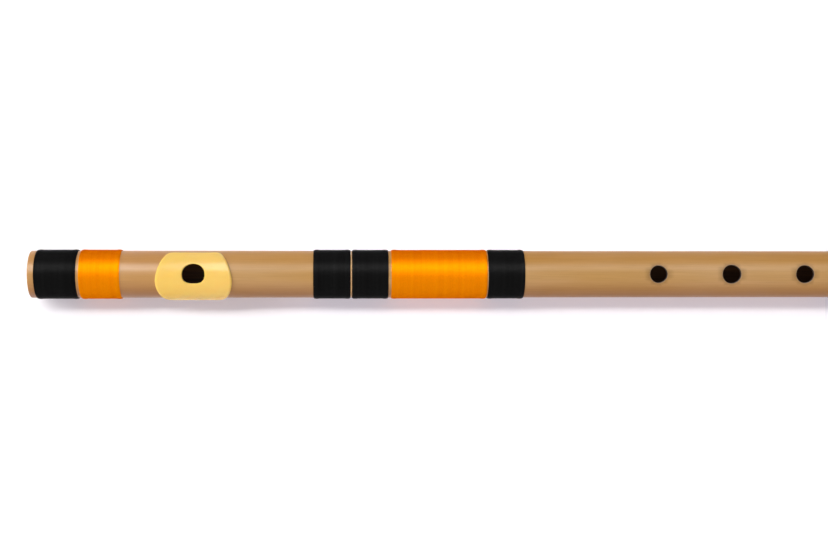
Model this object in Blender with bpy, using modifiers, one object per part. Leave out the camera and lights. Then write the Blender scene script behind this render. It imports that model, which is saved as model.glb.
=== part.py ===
"""A two-piece transverse bamboo flute, a bansuri, in metres.

The flute lies along X with its head end at -X, and its mouth hole and finger holes face +Z. The head
section and the body section meet at a brass connector that sits in a counterbore of each. The bore is
stopped at the head by a cork. Thread bindings ring the bamboo, and a moulded lip plate sits round the
mouth hole.
"""

import math

import bmesh
import bpy

# Length of each half, and the hairline between them
HEAD_LENGTH = 0.1596
BODY_LENGTH = 0.4353
JOINT_SPACE = 0.0001

# Bamboo tube: bore and wall
BORE = 0.0185
WALL_HEAD = 0.00255
WALL_FOOT = 0.00215
END_ROUND = 0.0006
BORE_CHAMFER = 0.0003
JOINT_CHAMFER = 0.00015
HOLE_SIDES = 28

# Head section, lengths in order from the head end to the lip plate
HEAD_RING = 0.0032
HEAD_BLACK = 0.0208
HEAD_SPACE = 0.0013
HEAD_ORANGE = 0.0203
HEAD_BARE = 0.01755
PLATE_LENGTH = 0.0379

# Bindings at the joint, lengths from the joint towards the head end
UPPER_RING = 0.0002
UPPER_BLACK = 0.01845

# Body section, lengths in order from the joint to the upper hand
LOWER_RING = 0.0004
LOWER_BLACK = 0.01805
LOWER_SPACE = 0.00145
CENTRE_ORANGE = 0.0473
CENTRE_SPACE = 0.0005
CENTRE_BLACK = 0.018

# Body section, lengths in order from the foot end back to the sixth finger hole
FOOT_RING = 0.0032
FOOT_BLACK = 0.0155
FOOT_SPACE = 0.0008
FOOT_ORANGE = 0.016
TUNING_HOLE_AFTER = 0.0072
TUNING_HOLE_BEFORE = 0.0103
FOOT_GROUP_BLACK = 0.008
FOOT_GROUP_SPACE = 0.0005
FOOT_GROUP_ORANGE = 0.009
FOOT_HAND_BARE = 0.012

# Finger holes: steps back from the sixth to the first, and bores from the first to the sixth
LOWER_HAND_STEP_LONG = 0.047
LOWER_HAND_STEP_SHORT = 0.029
HAND_GAP = 0.045
UPPER_HAND_STEP = 0.036
FINGER_HOLE_BORES = (0.0082, 0.0088, 0.0084, 0.0092, 0.0094, 0.008)
TUNING_HOLE_BORE = 0.0085
MID_HAND_BLACK = 0.014

# Thread bindings: three layers of thread, of which only the first reaches the ends
BINDING_PROUD = 0.00065
BINDING_GAP = 0.00015
BINDING_SHOULDER = 0.0015
BINDING_END_SHARE = 0.3

# Mouth hole, seen square on: half its length, and its reach and squareness to each side of the axis
MOUTH_HALF_LENGTH = 0.00556
MOUTH_FAR_REACH = 0.00505
MOUTH_NEAR_REACH = 0.0045
MOUTH_FAR_SQUARENESS = 2.1
MOUTH_NEAR_SQUARENESS = 2.75

# Lip plate: a saddle whose outline is drawn flat and wrapped round the tube
PLATE_GLUE = 0.0003
PLATE_THICKNESS = 0.00085
PLATE_HALF_WRAP = math.radians(76)
PLATE_TILT = math.radians(17)
PLATE_DRAWN_IN = 0.0061
PLATE_BOW_POWER = 1.75
PLATE_CORNER_SHARPNESS = 20
PLATE_BEVEL = 0.0014
PLATE_EDGE_SHARE = 0.35
PLATE_RIM = 0.0004
PLATE_RIM_SHARE = 0.7

# Cork stopper
STOPPER_LENGTH = 0.02
STOPPER_TO_MOUTH = 0.014
STOPPER_CLEARANCE = 0.0001
STOPPER_EDGE = 0.0008

# Brass connector in the two counterbores
CONNECTOR_LENGTH = 0.04
CONNECTOR_WALL = 0.00075
CONNECTOR_CLEARANCE = 0.0001
CONNECTOR_END_SPACE = 0.0003
CONNECTOR_EDGE = 0.0002

# Facets of the round parts
SIDES = 32
PLATE_POINTS = 64
PLATE_BANDS = 5
BEVEL_STEPS = 2
ROUND_STEPS = 2
MERGE_DISTANCE = 0.00001

# Stations: distances from the head end
HEAD_BLACK_AT = HEAD_RING
HEAD_ORANGE_AT = HEAD_BLACK_AT + HEAD_BLACK + HEAD_SPACE
PLATE_AT = HEAD_ORANGE_AT + HEAD_ORANGE + HEAD_BARE
MOUTH_AT = PLATE_AT + PLATE_LENGTH / 2
UPPER_BLACK_AT = HEAD_LENGTH - UPPER_RING - UPPER_BLACK
BODY_AT = HEAD_LENGTH + JOINT_SPACE
TOTAL_LENGTH = BODY_AT + BODY_LENGTH
JOINT_AT = HEAD_LENGTH + JOINT_SPACE / 2
LOWER_BLACK_AT = BODY_AT + LOWER_RING
CENTRE_ORANGE_AT = LOWER_BLACK_AT + LOWER_BLACK + LOWER_SPACE
CENTRE_BLACK_AT = CENTRE_ORANGE_AT + CENTRE_ORANGE + CENTRE_SPACE
FOOT_BLACK_AT = TOTAL_LENGTH - FOOT_RING - FOOT_BLACK
FOOT_ORANGE_AT = FOOT_BLACK_AT - FOOT_SPACE - FOOT_ORANGE
TUNING_HOLE_AT = FOOT_ORANGE_AT - TUNING_HOLE_AFTER
FOOT_GROUP_END_AT = TUNING_HOLE_AT - TUNING_HOLE_BEFORE - FOOT_GROUP_BLACK
FOOT_GROUP_ORANGE_AT = FOOT_GROUP_END_AT - FOOT_GROUP_SPACE - FOOT_GROUP_ORANGE
FOOT_GROUP_AT = FOOT_GROUP_ORANGE_AT - FOOT_GROUP_SPACE - FOOT_GROUP_BLACK
SIXTH_HOLE_AT = FOOT_GROUP_AT - FOOT_HAND_BARE
FIFTH_HOLE_AT = SIXTH_HOLE_AT - LOWER_HAND_STEP_LONG
FOURTH_HOLE_AT = FIFTH_HOLE_AT - LOWER_HAND_STEP_SHORT
THIRD_HOLE_AT = FOURTH_HOLE_AT - HAND_GAP
FINGER_HOLES_AT = (
    THIRD_HOLE_AT - 2 * UPPER_HAND_STEP,
    THIRD_HOLE_AT - UPPER_HAND_STEP,
    THIRD_HOLE_AT,
    FOURTH_HOLE_AT,
    FIFTH_HOLE_AT,
    SIXTH_HOLE_AT,
)
MID_HAND_BLACK_AT = (THIRD_HOLE_AT + FOURTH_HOLE_AT - MID_HAND_BLACK) / 2
STOPPER_AT = MOUTH_AT - STOPPER_TO_MOUTH - STOPPER_LENGTH
COUNTERBORE_DEPTH = CONNECTOR_LENGTH / 2 + CONNECTOR_END_SPACE
HALF_FACET = math.pi / SIDES


def tube_radius(station):
    """Outer radius of the bamboo, which tapers evenly from the head end to the foot."""
    share = station / TOTAL_LENGTH
    return BORE / 2 + WALL_HEAD + (WALL_FOOT - WALL_HEAD) * share


def facet_radius(radius):
    """Corner radius of a faceted circle whose flats lie at this radius."""
    return radius / math.cos(HALF_FACET)


PLATE_INNER = facet_radius(tube_radius(PLATE_AT)) + PLATE_GLUE
PLATE_OUTER = PLATE_INNER + PLATE_THICKNESS
BINDING_REACH = tube_radius(HEAD_BLACK_AT + BINDING_SHOULDER) + BINDING_PROUD
PLATE_SIDE_REACH = PLATE_OUTER * math.sin(min(PLATE_TILT + PLATE_HALF_WRAP, math.pi / 2))

# The flute's axis: the widest binding stands on the ground, and the whole is centred on Y
AXIS_Y = (max(PLATE_SIDE_REACH, BINDING_REACH) - BINDING_REACH) / 2
AXIS_Z = BINDING_REACH


def clear_scene():
    for found in list(bpy.data.objects):
        bpy.data.objects.remove(found)


def collection_named(name):
    made = bpy.data.collections.new(name)
    bpy.context.scene.collection.children.link(made)
    return made


def material(name, colour, roughness, metallic=0.0):
    made = bpy.data.materials.new(name)
    made.use_nodes = True
    shader = made.node_tree.nodes["Principled BSDF"]
    shader.inputs["Base Color"].default_value = (*colour, 1.0)
    shader.inputs["Roughness"].default_value = roughness
    shader.inputs["Metallic"].default_value = metallic
    made.diffuse_color = (*colour, 1.0)
    return made


def section(name, station, parts):
    """An empty on the flute's axis, with its own Z along the flute towards the foot."""
    made = bpy.data.objects.new(name, None)
    made.location = (station - TOTAL_LENGTH / 2, AXIS_Y, AXIS_Z)
    made.rotation_euler = (0, math.pi / 2, 0)
    made.empty_display_size = BORE
    made["station"] = station
    parts.objects.link(made)
    return made


def seated(name, mesh, station, parent, parts, finish):
    """An object on the flute's axis at this station, turned half a facet so that a flat faces down."""
    made = bpy.data.objects.new(name, mesh)
    made.parent = parent
    made.location = (0, 0, station - parent["station"])
    made.rotation_euler = (0, 0, HALF_FACET)
    made.data.materials.append(finish)
    parts.objects.link(made)
    return made


def baked(part):
    """Applies the modifiers, and shades the piece smooth between its sharp edges."""
    graph = bpy.context.evaluated_depsgraph_get()
    old = part.data
    part.data = bpy.data.meshes.new_from_object(part.evaluated_get(graph), depsgraph=graph)
    part.data.name = part.name
    part.modifiers.clear()
    bpy.data.meshes.remove(old)
    part.data.shade_smooth()
    part.data.set_sharp_from_angle(angle=math.radians(30))
    return part


def turned(name, outer, inner, station, parent, parts, finish):
    """A ring turned round the flute's axis. Outer and inner list (radius, distance along) towards the foot."""
    profile = [*reversed(outer), *inner]
    mesh = bpy.data.meshes.new(name)
    points = [(facet_radius(radius), 0, along) for radius, along in profile]
    edges = [(index, (index + 1) % len(points)) for index in range(len(points))]
    mesh.from_pydata(points, edges, [])
    made = seated(name, mesh, station, parent, parts, finish)
    turn = made.modifiers.new("turn", "SCREW")
    turn.axis = "Z"
    turn.angle = 2 * math.pi
    turn.steps = SIDES
    turn.render_steps = SIDES
    turn.use_merge_vertices = True
    turn.merge_threshold = MERGE_DISTANCE
    return made


def quarter_round(along, across):
    """Corner of an end, from its face to its side, as (distance from the face, distance from the side)."""
    angles = [math.pi / 2 * step / ROUND_STEPS for step in range(ROUND_STEPS + 1)]
    return [(along * (1 - math.cos(angle)), across * (1 - math.sin(angle))) for angle in angles]


def binding(name, start, length, parent, parts, finish):
    """A close winding of thread: a thin ring with rounded shoulders, just clear of the bamboo."""
    lift = BINDING_PROUD - BINDING_GAP
    corner = quarter_round(BINDING_SHOULDER, lift * (1 - BINDING_END_SHARE))
    rise = [(along, lift - fall) for along, fall in corner]
    shape = rise + [(length - along, height) for along, height in reversed(rise)]
    outer = [(tube_radius(start + along) + BINDING_GAP + height, along) for along, height in shape]
    inner = [(tube_radius(start + along) + BINDING_GAP, along) for along in (0, length)]
    return baked(turned(name, outer, inner, start, parent, parts, finish))


def cut(part, cutter):
    hole = part.modifiers.new(cutter.name, "BOOLEAN")
    hole.operation = "DIFFERENCE"
    hole.solver = "EXACT"
    hole.object = cutter


def hide_cutter(cutter, cutters):
    cutter.hide_render = True
    cutter.display_type = "WIRE"
    cutters.objects.link(cutter)
    return cutter


def finger_hole_cutter(name, station, bore, cutters):
    """An upright pin from the flute's axis to well above the bamboo."""
    height = 2 * tube_radius(station)
    mesh = bpy.data.meshes.new(name)
    work = bmesh.new()
    bmesh.ops.create_cone(
        work,
        cap_ends=True,
        segments=HOLE_SIDES,
        radius1=bore / 2,
        radius2=bore / 2,
        depth=height,
    )
    work.to_mesh(mesh)
    work.free()
    made = bpy.data.objects.new(name, mesh)
    made.location = (station - TOTAL_LENGTH / 2, AXIS_Y, AXIS_Z + height / 2)
    return hide_cutter(made, cutters)


def signed_power(value, power):
    return math.copysign(abs(value) ** power, value)


def mouth_outline():
    """The mouth hole seen square on: round on its far side (+Y), squarer and flatter on its near side."""
    outline = []
    for index in range(PLATE_POINTS):
        angle = 2 * math.pi * index / PLATE_POINTS
        far = math.sin(angle) > 0
        power = 2 / (MOUTH_FAR_SQUARENESS if far else MOUTH_NEAR_SQUARENESS)
        reach = MOUTH_FAR_REACH if far else MOUTH_NEAR_REACH
        x = MOUTH_HALF_LENGTH * signed_power(math.cos(angle), power)
        outline.append((x, reach * signed_power(math.sin(angle), power)))
    return outline


def plate_outline():
    """The lip plate laid flat, about its own middle: a square with rounded corners, stretched to the
    plate's size, whose sides bow out from the straight ends to the full length in the middle."""
    outline = []
    for index in range(PLATE_POINTS):
        angle = 2 * math.pi * index / PLATE_POINTS
        run, rise = math.cos(angle), math.sin(angle)
        sharp = PLATE_CORNER_SHARPNESS
        reach = (abs(run) ** sharp + abs(rise) ** sharp) ** (-1 / sharp)
        drawn_in = PLATE_DRAWN_IN * abs(reach * rise) ** PLATE_BOW_POWER
        x = reach * run * (PLATE_LENGTH / 2 - drawn_in)
        outline.append((x, reach * rise * PLATE_OUTER * PLATE_HALF_WRAP))
    return outline


def mouth_cutter(cutters):
    """The mouth hole's outline drawn up from the flute's axis through the bamboo."""
    work = bmesh.new()
    floor = work.faces.new([work.verts.new((x, y, 0)) for x, y in mouth_outline()])
    drawn = bmesh.ops.extrude_face_region(work, geom=[floor])
    risen = [found for found in drawn["geom"] if isinstance(found, bmesh.types.BMVert)]
    bmesh.ops.translate(work, verts=risen, vec=(0, 0, 2 * tube_radius(MOUTH_AT)))
    bmesh.ops.recalc_face_normals(work, faces=work.faces)
    mesh = bpy.data.meshes.new("mouth_hole")
    work.to_mesh(mesh)
    work.free()
    made = bpy.data.objects.new("mouth_hole", mesh)
    made.location = (MOUTH_AT - TOTAL_LENGTH / 2, AXIS_Y, AXIS_Z)
    return hide_cutter(made, cutters)


def plate_rings():
    """Rings of the plate's face from the mouth hole out, as (kind, amount, share of the thickness)."""
    rings = [("share", 0.0, PLATE_RIM_SHARE), ("rim", PLATE_RIM, 1.0)]
    rings += [("share", band / PLATE_BANDS, 1.0) for band in range(1, PLATE_BANDS)]
    for step in range(BEVEL_STEPS + 1):
        out = step / BEVEL_STEPS
        thickness = PLATE_EDGE_SHARE + (1 - PLATE_EDGE_SHARE) * math.sqrt(1 - out**2)
        rings.append(("edge", PLATE_BEVEL * (1 - out), thickness))
    return rings


def on_plate(kind, amount, mouth, edge):
    """A point of the flat plate on the line from a point of the mouth hole to one of the outline.

    The amount is a share of the way to the bevel, a distance from the hole's rim, or a distance from
    the edge."""
    gap = math.dist(mouth, edge)
    if kind == "share":
        share = amount * (1 - PLATE_BEVEL / gap)
    elif kind == "rim":
        share = amount / gap
    else:
        share = 1 - amount / gap
    return share, mouth[0] + (edge[0] - mouth[0]) * share, mouth[1] + (edge[1] - mouth[1]) * share


def wrapped(x, arc, radius, upright):
    """Wraps a flat point round the tube. Upright, from 0 to 1, sets it under its place on the outer face."""
    angle = arc / PLATE_OUTER
    plumb = math.asin(min(PLATE_OUTER * math.sin(angle) / radius, 1)) if upright else angle
    angle += (plumb - angle) * upright
    return x, radius * math.sin(angle), radius * math.cos(angle)


def lip_plate(parent, parts, finish):
    """A loft of rings from the mouth hole out to the edge, back under the plate and up the hole's wall."""
    mouths = [(x, PLATE_OUTER * math.asin(y / PLATE_OUTER)) for x, y in mouth_outline()]
    edges = [(x, arc - PLATE_OUTER * PLATE_TILT) for x, arc in plate_outline()]
    over = []
    under = []
    for kind, amount, thickness in plate_rings():
        top = []
        bottom = []
        for mouth, edge in zip(mouths, edges):
            share, x, arc = on_plate(kind, amount, mouth, edge)
            radius = PLATE_INNER + PLATE_THICKNESS * thickness
            upright = max(0.0, 1 - share * PLATE_BANDS)
            top.append(wrapped(x, arc, radius, upright))
            bottom.append(wrapped(x, arc, PLATE_INNER, upright))
        over.append(top)
        if kind == "share" or amount == 0.0:
            under.append(bottom)
    rings = over + list(reversed(under))
    work = bmesh.new()
    loops = [[work.verts.new(point) for point in ring] for ring in rings]
    for ring, next_ring in zip(loops, loops[1:] + loops[:1]):
        for index in range(PLATE_POINTS):
            after = (index + 1) % PLATE_POINTS
            work.faces.new((ring[index], next_ring[index], next_ring[after], ring[after]))
    bmesh.ops.recalc_face_normals(work, faces=work.faces)
    mesh = bpy.data.meshes.new("lip_plate")
    work.to_mesh(mesh)
    work.free()
    made = bpy.data.objects.new("lip_plate", mesh)
    made.parent = parent
    made.location = (0, 0, MOUTH_AT - parent["station"])
    made.rotation_euler = (0, -math.pi / 2, 0)
    made.data.materials.append(finish)
    parts.objects.link(made)
    return baked(made)


def head_tube(parent, parts, cutters, finish):
    bore = BORE / 2
    counterbore = bore + CONNECTOR_WALL + CONNECTOR_CLEARANCE
    end = tube_radius(0)
    joint = tube_radius(HEAD_LENGTH)
    outer = [(end - fall, along) for along, fall in quarter_round(END_ROUND, END_ROUND)]
    outer += [
        (joint, HEAD_LENGTH - JOINT_CHAMFER),
        (joint - JOINT_CHAMFER, HEAD_LENGTH),
    ]
    inner = [
        (bore + BORE_CHAMFER, 0),
        (bore, BORE_CHAMFER),
        (bore, HEAD_LENGTH - COUNTERBORE_DEPTH),
        (counterbore, HEAD_LENGTH - COUNTERBORE_DEPTH),
        (counterbore, HEAD_LENGTH),
    ]
    made = turned("head_tube", outer, inner, 0, parent, parts, finish)
    cut(made, mouth_cutter(cutters))
    return baked(made)


def body_tube(parent, parts, cutters, finish):
    bore = BORE / 2
    counterbore = bore + CONNECTOR_WALL + CONNECTOR_CLEARANCE
    joint = tube_radius(BODY_AT)
    end = tube_radius(TOTAL_LENGTH)
    outer = [
        (joint - JOINT_CHAMFER, 0),
        (joint, JOINT_CHAMFER),
    ]
    rounding = quarter_round(END_ROUND, END_ROUND)
    outer += [(end - fall, BODY_LENGTH - along) for along, fall in reversed(rounding)]
    inner = [
        (counterbore, 0),
        (counterbore, COUNTERBORE_DEPTH),
        (bore, COUNTERBORE_DEPTH),
        (bore, BODY_LENGTH - BORE_CHAMFER),
        (bore + BORE_CHAMFER, BODY_LENGTH),
    ]
    made = turned("body_tube", outer, inner, BODY_AT, parent, parts, finish)
    for number, (station, bore_width) in enumerate(zip(FINGER_HOLES_AT, FINGER_HOLE_BORES), 1):
        cut(made, finger_hole_cutter(f"finger_hole_{number}", station, bore_width, cutters))
    cut(made, finger_hole_cutter("tuning_hole", TUNING_HOLE_AT, TUNING_HOLE_BORE, cutters))
    return baked(made)


def connector(parent, parts, finish):
    """The brass sleeve that joins the halves. Its bore is flush with the flute's."""
    inside = BORE / 2
    outside = inside + CONNECTOR_WALL
    outer = [
        (outside - CONNECTOR_EDGE, 0),
        (outside, CONNECTOR_EDGE),
        (outside, CONNECTOR_LENGTH - CONNECTOR_EDGE),
        (outside - CONNECTOR_EDGE, CONNECTOR_LENGTH),
    ]
    inner = [(inside, 0), (inside, CONNECTOR_LENGTH)]
    start = JOINT_AT - CONNECTOR_LENGTH / 2
    return baked(turned("connector_sleeve", outer, inner, start, parent, parts, finish))


def stopper(parent, parts, finish):
    """A cork plug, its sharp rims rounded, across the bore above the mouth hole."""
    mesh = bpy.data.meshes.new("stopper_cork")
    work = bmesh.new()
    radius = facet_radius(BORE / 2 - STOPPER_CLEARANCE)
    bmesh.ops.create_cone(
        work,
        cap_ends=True,
        segments=SIDES,
        radius1=radius,
        radius2=radius,
        depth=STOPPER_LENGTH,
    )
    work.to_mesh(mesh)
    work.free()
    made = seated("stopper_cork", mesh, STOPPER_AT + STOPPER_LENGTH / 2, parent, parts, finish)
    edge = made.modifiers.new("rims", "BEVEL")
    edge.width = STOPPER_EDGE
    edge.segments = 2
    edge.limit_method = "ANGLE"
    edge.angle_limit = math.radians(45)
    return baked(made)


def main():
    clear_scene()
    parts = collection_named("bansuri")
    cutters = collection_named("cutters")
    bamboo = material("bamboo", (0.58, 0.31, 0.13), 0.42)
    black = material("black_thread", (0.007, 0.007, 0.007), 0.55)
    orange = material("orange_thread", (0.87, 0.27, 0.0), 0.5)
    cream = material("cream_plastic", (0.95, 0.62, 0.15), 0.3)
    brass = material("brass", (0.8, 0.58, 0.25), 0.3, 1.0)
    cork = material("cork", (0.55, 0.33, 0.17), 0.8)

    head = section("head_section", 0, parts)
    joint = section("connector", JOINT_AT, parts)
    body = section("body_section", BODY_AT, parts)
    plug = section("stopper", STOPPER_AT + STOPPER_LENGTH / 2, parts)

    head_tube(head, parts, cutters, bamboo)
    lip_plate(head, parts, cream)
    stopper(plug, parts, cork)
    connector(joint, parts, brass)
    body_tube(body, parts, cutters, bamboo)

    bindings = (
        ("head_end_binding_black", HEAD_BLACK_AT, HEAD_BLACK, head, black),
        ("head_end_binding_orange", HEAD_ORANGE_AT, HEAD_ORANGE, head, orange),
        ("upper_joint_binding_black", UPPER_BLACK_AT, UPPER_BLACK, head, black),
        ("lower_joint_binding_black", LOWER_BLACK_AT, LOWER_BLACK, body, black),
        ("centre_binding_orange", CENTRE_ORANGE_AT, CENTRE_ORANGE, body, orange),
        ("centre_binding_black", CENTRE_BLACK_AT, CENTRE_BLACK, body, black),
        ("mid_hand_binding_black", MID_HAND_BLACK_AT, MID_HAND_BLACK, body, black),
        ("foot_group_binding_black_1", FOOT_GROUP_AT, FOOT_GROUP_BLACK, body, black),
        ("foot_group_binding_orange", FOOT_GROUP_ORANGE_AT, FOOT_GROUP_ORANGE, body, orange),
        ("foot_group_binding_black_2", FOOT_GROUP_END_AT, FOOT_GROUP_BLACK, body, black),
        ("foot_end_binding_orange", FOOT_ORANGE_AT, FOOT_ORANGE, body, orange),
        ("foot_end_binding_black", FOOT_BLACK_AT, FOOT_BLACK, body, black),
    )
    for name, start, length, parent, thread in bindings:
        binding(name, start, length, parent, parts, thread)


main()
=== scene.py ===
"""Looks for the two-piece bansuri: lacquered bamboo, wound thread, cream lip plate, cork and brass.

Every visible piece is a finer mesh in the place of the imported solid, in metres, in the same frame: X runs
along the flute to its foot, Y away from the player, and Z up out of the holes.
"""

import math

import bmesh
import bpy
import numpy as np
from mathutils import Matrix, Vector
from mathutils.geometry import delaunay_2d_cdt


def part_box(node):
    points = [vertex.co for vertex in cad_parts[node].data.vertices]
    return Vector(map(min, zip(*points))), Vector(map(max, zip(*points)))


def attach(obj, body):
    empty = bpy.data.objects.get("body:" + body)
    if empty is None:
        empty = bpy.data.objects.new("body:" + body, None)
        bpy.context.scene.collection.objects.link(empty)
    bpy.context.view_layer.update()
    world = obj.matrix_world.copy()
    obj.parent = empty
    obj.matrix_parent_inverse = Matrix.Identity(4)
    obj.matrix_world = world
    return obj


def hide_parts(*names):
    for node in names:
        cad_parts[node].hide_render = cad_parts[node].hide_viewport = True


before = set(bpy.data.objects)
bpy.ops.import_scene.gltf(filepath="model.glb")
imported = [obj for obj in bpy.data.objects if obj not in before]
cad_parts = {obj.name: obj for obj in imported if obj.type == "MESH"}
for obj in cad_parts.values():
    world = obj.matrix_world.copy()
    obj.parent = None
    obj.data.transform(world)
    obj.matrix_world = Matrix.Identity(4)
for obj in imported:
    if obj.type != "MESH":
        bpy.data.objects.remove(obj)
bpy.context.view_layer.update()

MM = 0.001

# Places and sizes read from the frame
HEAD_LOW, HEAD_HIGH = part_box("head_tube")
BODY_LOW, BODY_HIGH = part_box("body_tube")
AXIS_Y = (HEAD_LOW[1] + HEAD_HIGH[1]) / 2
AXIS_Z = (HEAD_LOW[2] + HEAD_HIGH[2]) / 2
HEAD_END = HEAD_LOW[0]
FOOT_END = BODY_HIGH[0]
FLUTE_LENGTH = FOOT_END - HEAD_END
PLATE_LOW, PLATE_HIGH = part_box("lip_plate")
SLEEVE_LOW, SLEEVE_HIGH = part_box("connector_sleeve")
CORK_LOW, CORK_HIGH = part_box("stopper_cork")
MOUTH_X = (PLATE_LOW[0] + PLATE_HIGH[0]) / 2

# Sizes of the tubes that the boxes don't give
BORE_RADIUS = 9.25 * MM
HEAD_RADIUS = 11.8 * MM
FOOT_RADIUS = 11.4 * MM
COUNTERBORE_RADIUS = 10.1 * MM
COUNTERBORE_SPARE = 0.3 * MM
END_ROUND = 0.6 * MM
BORE_CHAMFER = 0.3 * MM
JOINT_CHAMFER = 0.15 * MM

# The six finger holes and the tuning hole, in mm: places from the head's end, and widths
HOLE_PLACES = (311.0, 347.0, 383.0, 428.0, 457.0, 504.0, 552.3)
HOLE_WIDTHS = (8.2, 8.8, 8.4, 9.2, 9.4, 8.0, 8.5)

# Mesh of the tubes, whose three material slots are skin, cut faces and bore
SKIN, CUT, BORE = 0, 1, 2
TUBE_SEGMENTS = 160
TUBE_STEP = 3.0 * MM
ROUND_STEPS = 5
MERGE_DISTANCE = 0.004 * MM
FLAT_TOLERANCE = 1e-7

# A hole's rim, and how charred it is ring by ring from the skin down to the bore
HOLE_POINTS = 64
HOLE_LIP = 0.45 * MM
HOLE_CLEARANCE = 1.0 * MM
HOLE_SEARCH = 20 * MM
INNER_LIP_WIDTH = HOLE_LIP * 0.6
INNER_LIP_HEIGHT = HOLE_LIP * 1.2
HOLE_CHAR = (0.35, 0.6, 0.85, 1, 1, 1, 1, 0.6)

# Mouth hole, squarer on the player's side
MOUTH_HALF_LENGTH = 5.56 * MM
MOUTH_FAR_REACH = 5.05 * MM
MOUTH_NEAR_REACH = 4.5 * MM
MOUTH_FAR_SQUARENESS = 2.1
MOUTH_NEAR_SQUARENESS = 2.75

# Lip plate. Its shares are of the way from the mouth hole to the plate's edge
PLATE_HALF_WRAP = math.radians(76)
PLATE_TILT = math.radians(17)
PLATE_DRAWN_IN = 6.1 * MM
PLATE_BOW_POWER = 1.75
PLATE_CORNER_SHARPNESS = 20
PLATE_BEVEL = 1.4 * MM
PLATE_EDGE = 0.35 * MM
PLATE_LIFT = 0.12 * MM
PLATE_RIM = 0.55 * MM
PLATE_BOX_MARGIN = 0.001 * MM
PLATE_UNDERCUT, PLATE_UNDERCUT_LIFT = 0.06 * MM, 0.02 * MM
PLATE_PLUMB_SHARE = 0.25
PLATE_FACE_FROM, PLATE_FACE_TO = 0.06, 0.86
PLATE_WALL_RING = 0.2
PLATE_POINTS, PLATE_RIM_STEPS, PLATE_BEVEL_STEPS, PLATE_BANDS = 240, 5, 7, 14

# Cork and sleeve
CORK_GAP = 0.1 * MM
CORK_EDGE = 0.8 * MM
CORK_FLAT_SHARE = 0.6
SLEEVE_WALL = 0.75 * MM
SLEEVE_EDGE = 0.2 * MM
TURNED_SIDES = 128

# Thread: pulled flat on the tube, and how the winding falls off at its ends
BINDING_PROUD = 0.649 * MM
THREAD_WIDTH = 0.36 * MM
THREAD_HEIGHT = 0.22 * MM
THREAD_PITCH = 0.345 * MM
SHOULDER = 1.5 * MM
SHOULDER_DROP = 0.4 * MM
SADDLE = 0.12 * MM
SADDLE_FROM, SADDLE_TO = 1.7 * MM, 2.9 * MM
UNEVENNESS = 0.03 * MM
UNEVEN_PER_METRE = 600.0
POINTS_PER_TURN = 64
THREAD_SIDES = 8
SEED_STEP = 0.37
BED_DEPTH = THREAD_HEIGHT / 2 * 1.2 + UNEVENNESS
BED_LIFT = 0.03 * MM
BED_SIDES, BED_STEPS = 96, 6

# Each binding, the body that carries it and its thread
BINDINGS = (
    ("head_end_binding_black", "head_section", "black"),
    ("head_end_binding_orange", "head_section", "orange"),
    ("upper_joint_binding_black", "head_section", "black"),
    ("lower_joint_binding_black", "body_section", "black"),
    ("centre_binding_orange", "body_section", "orange"),
    ("centre_binding_black", "body_section", "black"),
    ("mid_hand_binding_black", "body_section", "black"),
    ("foot_group_binding_black_1", "body_section", "black"),
    ("foot_group_binding_orange", "body_section", "orange"),
    ("foot_group_binding_black_2", "body_section", "black"),
    ("foot_end_binding_orange", "body_section", "orange"),
    ("foot_end_binding_black", "body_section", "black"),
)

# Table: its own white comes in between two distances from its middle, in metres. Near the flute it has only
# a glow, painted light on the shadow, which rises between two places along X
FLOOR_HALF_SIZE = 6.0
WHITE_FROM, WHITE_TO = 0.36, 0.9
HEAD_GLOW, JOINT_GLOW = 0.15, 0.22
GLOW_FROM, GLOW_TO = -190 * MM, -155 * MM

# Studio: brightness of the surroundings as light and as seen
AMBIENT, BACKDROP = 0.2, 1.0
SOFTBOX_DISTANCE = 3.0

# Photograph's camera: 1 mm is 2 pixels in the plane of the flute's axis
PHOTO_WIDTH, PHOTO_HEIGHT = 828, 551
PIXELS_PER_MM = 2.0
HEAD_END_PIXEL = 31.7
FOOT_OF_VIEW_PIXEL = 348.0
AXIS_PIXEL = 274.2
FOCAL_PIXELS = 1400.0


def linear(text):
    """An sRGB hex colour as linear RGBA."""
    parts = [int(text[place : place + 2], 16) / 255 for place in (0, 2, 4)]
    return (*[p / 12.92 if p <= 0.04045 else ((p + 0.055) / 1.055) ** 2.4 for p in parts], 1.0)


def tube_radius(x):
    """Outer radius of the bamboo, which tapers evenly from head to foot."""
    return HEAD_RADIUS + (FOOT_RADIUS - HEAD_RADIUS) * (x - HEAD_END) / FLUTE_LENGTH


def bore_radius(x):
    """Radius of the bore, the same at every x."""
    return BORE_RADIUS


def node(tree, kind, links=None, **settings):
    """Adds a node with its settings. Links maps an input to a value or to another node's output."""
    made = tree.nodes.new(kind)
    for name, value in settings.items():
        setattr(made, name, value)
    for name, value in (links or {}).items():
        if isinstance(value, bpy.types.NodeSocket):
            tree.links.new(value, made.inputs[name])
        else:
            made.inputs[name].default_value = value
    return made


def ramp(tree, factor, stops):
    """A colour ramp. Stops are (position, hex colour or grey level)."""
    made = node(tree, "ShaderNodeValToRGB", {"Fac": factor})
    while len(made.color_ramp.elements) < len(stops):
        made.color_ramp.elements.new(0.5)
    for element, (position, colour) in zip(made.color_ramp.elements, stops):
        element.position = position
        element.color = linear(colour) if isinstance(colour, str) else (colour, colour, colour, 1)
    return made.outputs["Color"]


def new_material(name, roughness, **sockets):
    """A material with these values on its shader's own sockets, an underscore for each space."""
    made = bpy.data.materials.new(name)
    made.use_nodes = True
    tree = made.node_tree
    shader = tree.nodes["Principled BSDF"]
    shader.inputs["Roughness"].default_value = roughness
    for socket, value in sockets.items():
        shader.inputs[socket.replace("_", " ")].default_value = value
    return made, tree, shader


def object_place(tree):
    """The place on the object, which is in metres in the part's frame."""
    return node(tree, "ShaderNodeTexCoord").outputs["Object"]


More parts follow.
